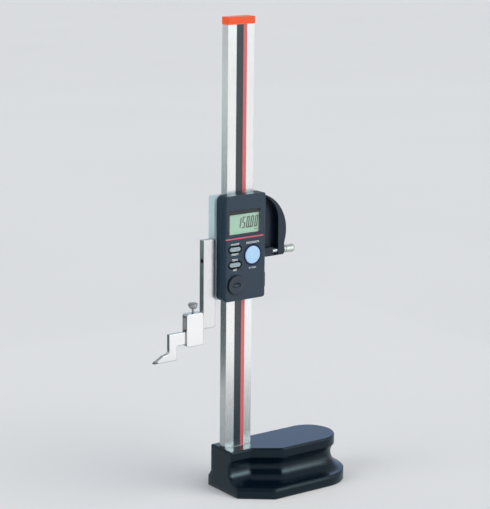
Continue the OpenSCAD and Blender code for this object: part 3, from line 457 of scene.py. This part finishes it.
def display_digits():
    """The reading in slanted segments on the panel."""
    panel_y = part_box("lcd_panel")[0].y
    view_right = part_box("window")[1].x / MM - VIEW_IN
    base_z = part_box("window")[0].z / MM + DIGIT_BASE
    ink = plastic("display_ink", (0.004, 0.007, 0.006), 0.50, edge_mm=0.02)
    bm = bmesh.new()
    digits = READING.replace(".", "")
    point_after = READING.index(".")
    for place, letter in enumerate(digits):
        left = view_right - DIGIT_RIGHT - DIGIT_W - DIGIT_PITCH * (len(digits) - 1 - place)
        outlines = digit_bars(letter)
        if place == point_after - 1:
            x = DIGIT_W + (DIGIT_PITCH - DIGIT_W) / 2
            half = DIGIT_STROKE * POINT_SHARE
            outlines.append([(x - half, 0.0), (x + half, 0.0), (x + half, 2 * half), (x - half, 2 * half)])
        for outline in outlines:
            points = [((left + x + z * DIGIT_SLANT) * MM, (base_z + z) * MM) for x, z in outline]
            flat_prism(bm, points, panel_y - INK_T * MM, panel_y + INK_T * MM)
    return mesh_piece("display_digits", bm, ink, "slider")


def text_mesh(bm, words, height_mm, centre_x, centre_z, face_y):
    """Adds words as thin raised letters on a plane that faces -Y."""
    curve = bpy.data.curves.new("words", "FONT")
    curve.body = words
    curve.size = height_mm * MM * FONT_SHARE
    curve.extrude = INK_T * MM
    curve.offset = height_mm * MM * BOLD_SHARE
    curve.align_x = "CENTER"
    curve.align_y = "CENTER"
    curve.resolution_u = 3
    holder = bpy.data.objects.new("words", curve)
    bpy.context.scene.collection.objects.link(holder)
    bpy.context.view_layer.update()
    mesh = bpy.data.meshes.new_from_object(holder.evaluated_get(bpy.context.evaluated_depsgraph_get()))
    place = Matrix.Translation((centre_x, face_y, centre_z)) @ Matrix.Rotation(math.pi / 2, 4, "X")
    mesh.transform(place)
    bm.from_mesh(mesh)
    bpy.data.objects.remove(holder)
    bpy.data.curves.remove(curve)
    bpy.data.meshes.remove(mesh)


def key_labels():
    """White function marks above and below the keys."""
    white = plastic("label_white", (0.80, 0.84, 0.86), 0.45, edge_mm=0.02, tint=0.03)
    face_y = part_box("housing")[0].y
    bm = bmesh.new()
    for node, above, below in LABELS:
        low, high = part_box(node)
        middle = (low.x + high.x) / 2
        text_mesh(bm, above, LABEL_H, middle, high.z + LABEL_ABOVE * MM, face_y)
        text_mesh(bm, below, LABEL_H, middle, low.z - LABEL_BELOW * MM, face_y)
    return mesh_piece("key_labels", bm, white, "slider")


def unit_mark():
    """Unit beside the digits on the panel."""
    ink = bpy.data.materials["display_ink"]
    panel_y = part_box("lcd_panel")[0].y
    low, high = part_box("window")
    bm = bmesh.new()
    text_mesh(bm, "mm", UNIT_H, high.x - UNIT_FROM_RIGHT * MM, low.z + UNIT_UP * MM, panel_y)
    return mesh_piece("unit_mark", bm, ink, "slider")


# Studio


def plane(name, size_x, size_y, place, mat):
    """Flat rectangle for the studio."""
    bm = bmesh.new()
    corners = ((-1, -1), (1, -1), (1, 1), (-1, 1))
    bm.faces.new([bm.verts.new((x * size_x / 2, y * size_y / 2, 0.0)) for x, y in corners])
    mesh = bpy.data.meshes.new(name)
    bm.to_mesh(mesh)
    bm.free()
    mesh.materials.append(mat)
    obj = bpy.data.objects.new(name, mesh)
    obj.matrix_world = place
    bpy.context.scene.collection.objects.link(obj)
    return obj


def facing(at, aim):
    """Place at a point with its -Z axis towards another."""
    at, aim = Vector(at), Vector(aim)
    turn = (aim - at).to_track_quat("-Z", "Y")
    return Matrix.Translation(at) @ turn.to_matrix().to_4x4()


def soft_sun(name, towards, strength, width_deg, tint):
    """Wide, soft sun that shines from the side given by towards."""
    lamp = bpy.data.lights.new(name, "SUN")
    lamp.energy = strength
    lamp.angle = math.radians(width_deg)
    lamp.color = tint
    obj = bpy.data.objects.new(name, lamp)
    obj.matrix_world = facing(towards, (0.0, 0.0, 0.0))
    obj.visible_glossy = False
    bpy.context.scene.collection.objects.link(obj)


def fade(first, last):
    """Tones of a card that goes evenly from the first to the last."""
    return ((0.0, first), (1.0, last))


def gloss_card(name, size_x, size_y, at, aim, tones, power=1.0, ring=None, over=False, only=()):
    """Card that only shows in gloss and glass, or only in that of the nodes named.

    Its tones go from its lower to its upper edge, or outwards between the two radii of ring.
    What lies behind one that is laid over it shows through.
    """
    mat = bpy.data.materials.new(name)
    mat.use_nodes = True
    tree = mat.node_tree
    tree.nodes.clear()
    out = tree.nodes.new("ShaderNodeOutputMaterial")
    glow = tree.nodes.new("ShaderNodeEmission")
    glow.inputs["Strength"].default_value = power
    ramp = tree.nodes.new("ShaderNodeValToRGB")
    if ring:
        away = tree.nodes.new("ShaderNodeVectorMath")
        away.operation = "LENGTH"
        tree.links.new(coordinates(tree), away.inputs[0])
        place = spread(tree, away.outputs["Value"], 0.0, 1.0, *ring)
        ramp.color_ramp.interpolation = "EASE"
    else:
        split = tree.nodes.new("ShaderNodeSeparateXYZ")
        tree.links.new(coordinates(tree), split.inputs["Vector"])
        place = spread(tree, split.outputs["Y"], 0.0, 1.0, -size_y / 2, size_y / 2)
    tree.links.new(place, ramp.inputs["Fac"])
    stops = ramp.color_ramp.elements
    while len(stops) < len(tones):
        stops.new(0.5)
    for stop, (position, tone) in zip(stops, tones):
        stop.position = position
        stop.color = (*tone, 1.0)
    tree.links.new(ramp.outputs["Color"], glow.inputs["Color"])
    surface = glow.outputs["Emission"]
    if over:
        clear = tree.nodes.new("ShaderNodeBsdfTransparent")
        both = tree.nodes.new("ShaderNodeAddShader")
        tree.links.new(surface, both.inputs[0])
        tree.links.new(clear.outputs["BSDF"], both.inputs[1])
        surface = both.outputs["Shader"]
    tree.links.new(surface, out.inputs["Surface"])
    card = plane(name, size_x, size_y, facing(at, aim), mat)
    card.visible_camera = False
    card.visible_diffuse = False
    card.visible_shadow = False
    if only:
        card.light_linking.receiver_collection = bpy.data.collections.new(name)
        for node in only:
            card.light_linking.receiver_collection.objects.link(NODES[node])


def studio():
    """Pale floor, soft lamps, an even world and the cards that the gloss shows."""
    paper, tree, shader = new_material("studio_paper")
    fibre = noise(tree, size_mm=400.0)
    tone = blend_colours(tree, fibre, *FLOOR_TONES)
    tree.links.new(tone, shader.inputs["Base Color"])
    shader.inputs["Roughness"].default_value = 0.9
    shader.inputs["Specular IOR Level"].default_value = 0.1
    plane("studio_floor", FLOOR_SIZE, FLOOR_SIZE, Matrix.Identity(4), paper)

    soft_sun("sun", towards=(0.35, -0.55, 0.95), strength=1.25, width_deg=50.0, tint=(1.0, 0.97, 0.93))
    soft_sun("key", towards=(1.90, -2.60, 0.74), strength=0.62, width_deg=45.0, tint=(1.0, 0.97, 0.94))
    soft_sun("fill", towards=(-2.40, 0.20, 1.05), strength=0.95, width_deg=35.0, tint=(1.0, 1.0, 1.0))

    lamp_white = (1.0, 0.97, 0.94)
    front_grey = (0.04, 0.05, 0.06)
    back_grey = (0.56, 0.65, 0.72)
    base_blue = (0.0, 0.10, 0.40)
    none = (0.0, 0.0, 0.0)
    gloss_card("card_lamp", size_x=3.0, size_y=2.2, at=(1.90, -2.60, 1.14), aim=(0.0, 0.0, 0.40),
               tones=fade(lamp_white, lamp_white))
    gloss_card("card_left", size_x=0.90, size_y=0.40, at=(-0.246, 0.340, 0.20), aim=(0.0, 0.0, 0.20),
               tones=((0.05, (0.14, 0.18, 0.19)), (0.35, (0.09, 0.12, 0.13)),
                      (0.60, (0.39, 0.50, 0.51)), (0.90, (0.76, 0.84, 0.84))))
    gloss_card("card_right", size_x=0.60, size_y=0.19, at=(0.25, -0.35, 0.095), aim=(0.0, 0.0, 0.095),
               tones=fade((0.56, 0.57, 0.59), (0.06, 0.06, 0.07)), over=True)
    gloss_card("card_front", size_x=3.0, size_y=2.6, at=(-1.40, -1.95, 1.35), aim=(0.0, 0.0, 0.10),
               tones=fade(front_grey, front_grey))
    gloss_card("card_back", size_x=4.0, size_y=1.6, at=(1.80, 2.50, 0.95), aim=(0.0, 0.0, 0.10),
               tones=fade(back_grey, back_grey))
    gloss_card("card_base", size_x=1.0, size_y=0.22, at=(0.33, 0.40, 0.18), aim=(0.0, 0.0, 0.10),
               tones=fade(base_blue, base_blue), over=True, only=("base",))
    gloss_card("card_key", size_x=1.4, size_y=1.4, at=(1.08, -2.09, 0.96), aim=(0.0, 0.0, 0.05),
               tones=fade((0.72, 0.94, 1.0), none), power=12.0, ring=(0.0, 0.70), over=True)
    gloss_card("card_floor", size_x=1.2, size_y=1.2, at=(0.0, 0.0, 0.0008), aim=(0.0, 0.0, 1.0),
               tones=fade((0.40, 0.46, 0.49), (0.76, 0.77, 0.78)), ring=(0.12, 0.50))
    gloss_card("card_far_floor", size_x=3.8, size_y=3.8, at=(1.20, -1.65, 0.0012), aim=(1.20, -1.65, 1.0),
               tones=fade((0.48, 0.45, 0.45), none), ring=(0.5, 1.9), over=True)

    world = bpy.data.worlds.new("studio_world")
    world.use_nodes = True
    back = world.node_tree.nodes["Background"]
    back.inputs["Color"].default_value = WORLD_TONE
    back.inputs["Strength"].default_value = WORLD_LEVEL
    bpy.context.scene.world = world


def photo_camera():
    """Camera at the photograph's place, aim, roll and lens."""
    cam = bpy.data.cameras.new("photo_camera")
    cam.lens = CAMERA_LENS
    cam.sensor_width = 36.0
    cam.sensor_fit = "AUTO"
    cam.clip_end = 100.0
    forward = (CAMERA_AIM - CAMERA_AT).normalized()
    right = forward.cross(Vector((0.0, 0.0, 1.0))).normalized()
    up = right.cross(forward)
    rolled_right = right * math.cos(CAMERA_ROLL) + up * math.sin(CAMERA_ROLL)
    rolled_up = up * math.cos(CAMERA_ROLL) - right * math.sin(CAMERA_ROLL)
    turn = Matrix((rolled_right, rolled_up, -forward)).transposed().to_4x4()
    obj = bpy.data.objects.new("photo_camera", cam)
    obj.matrix_world = Matrix.Translation(CAMERA_AT) @ turn
    bpy.context.scene.collection.objects.link(obj)
    bpy.context.scene.camera = obj


photo_camera()
dress_nodes()
display_digits()
unit_mark()
key_labels()
studio()
bpy.context.scene.view_settings.view_transform = "Standard"
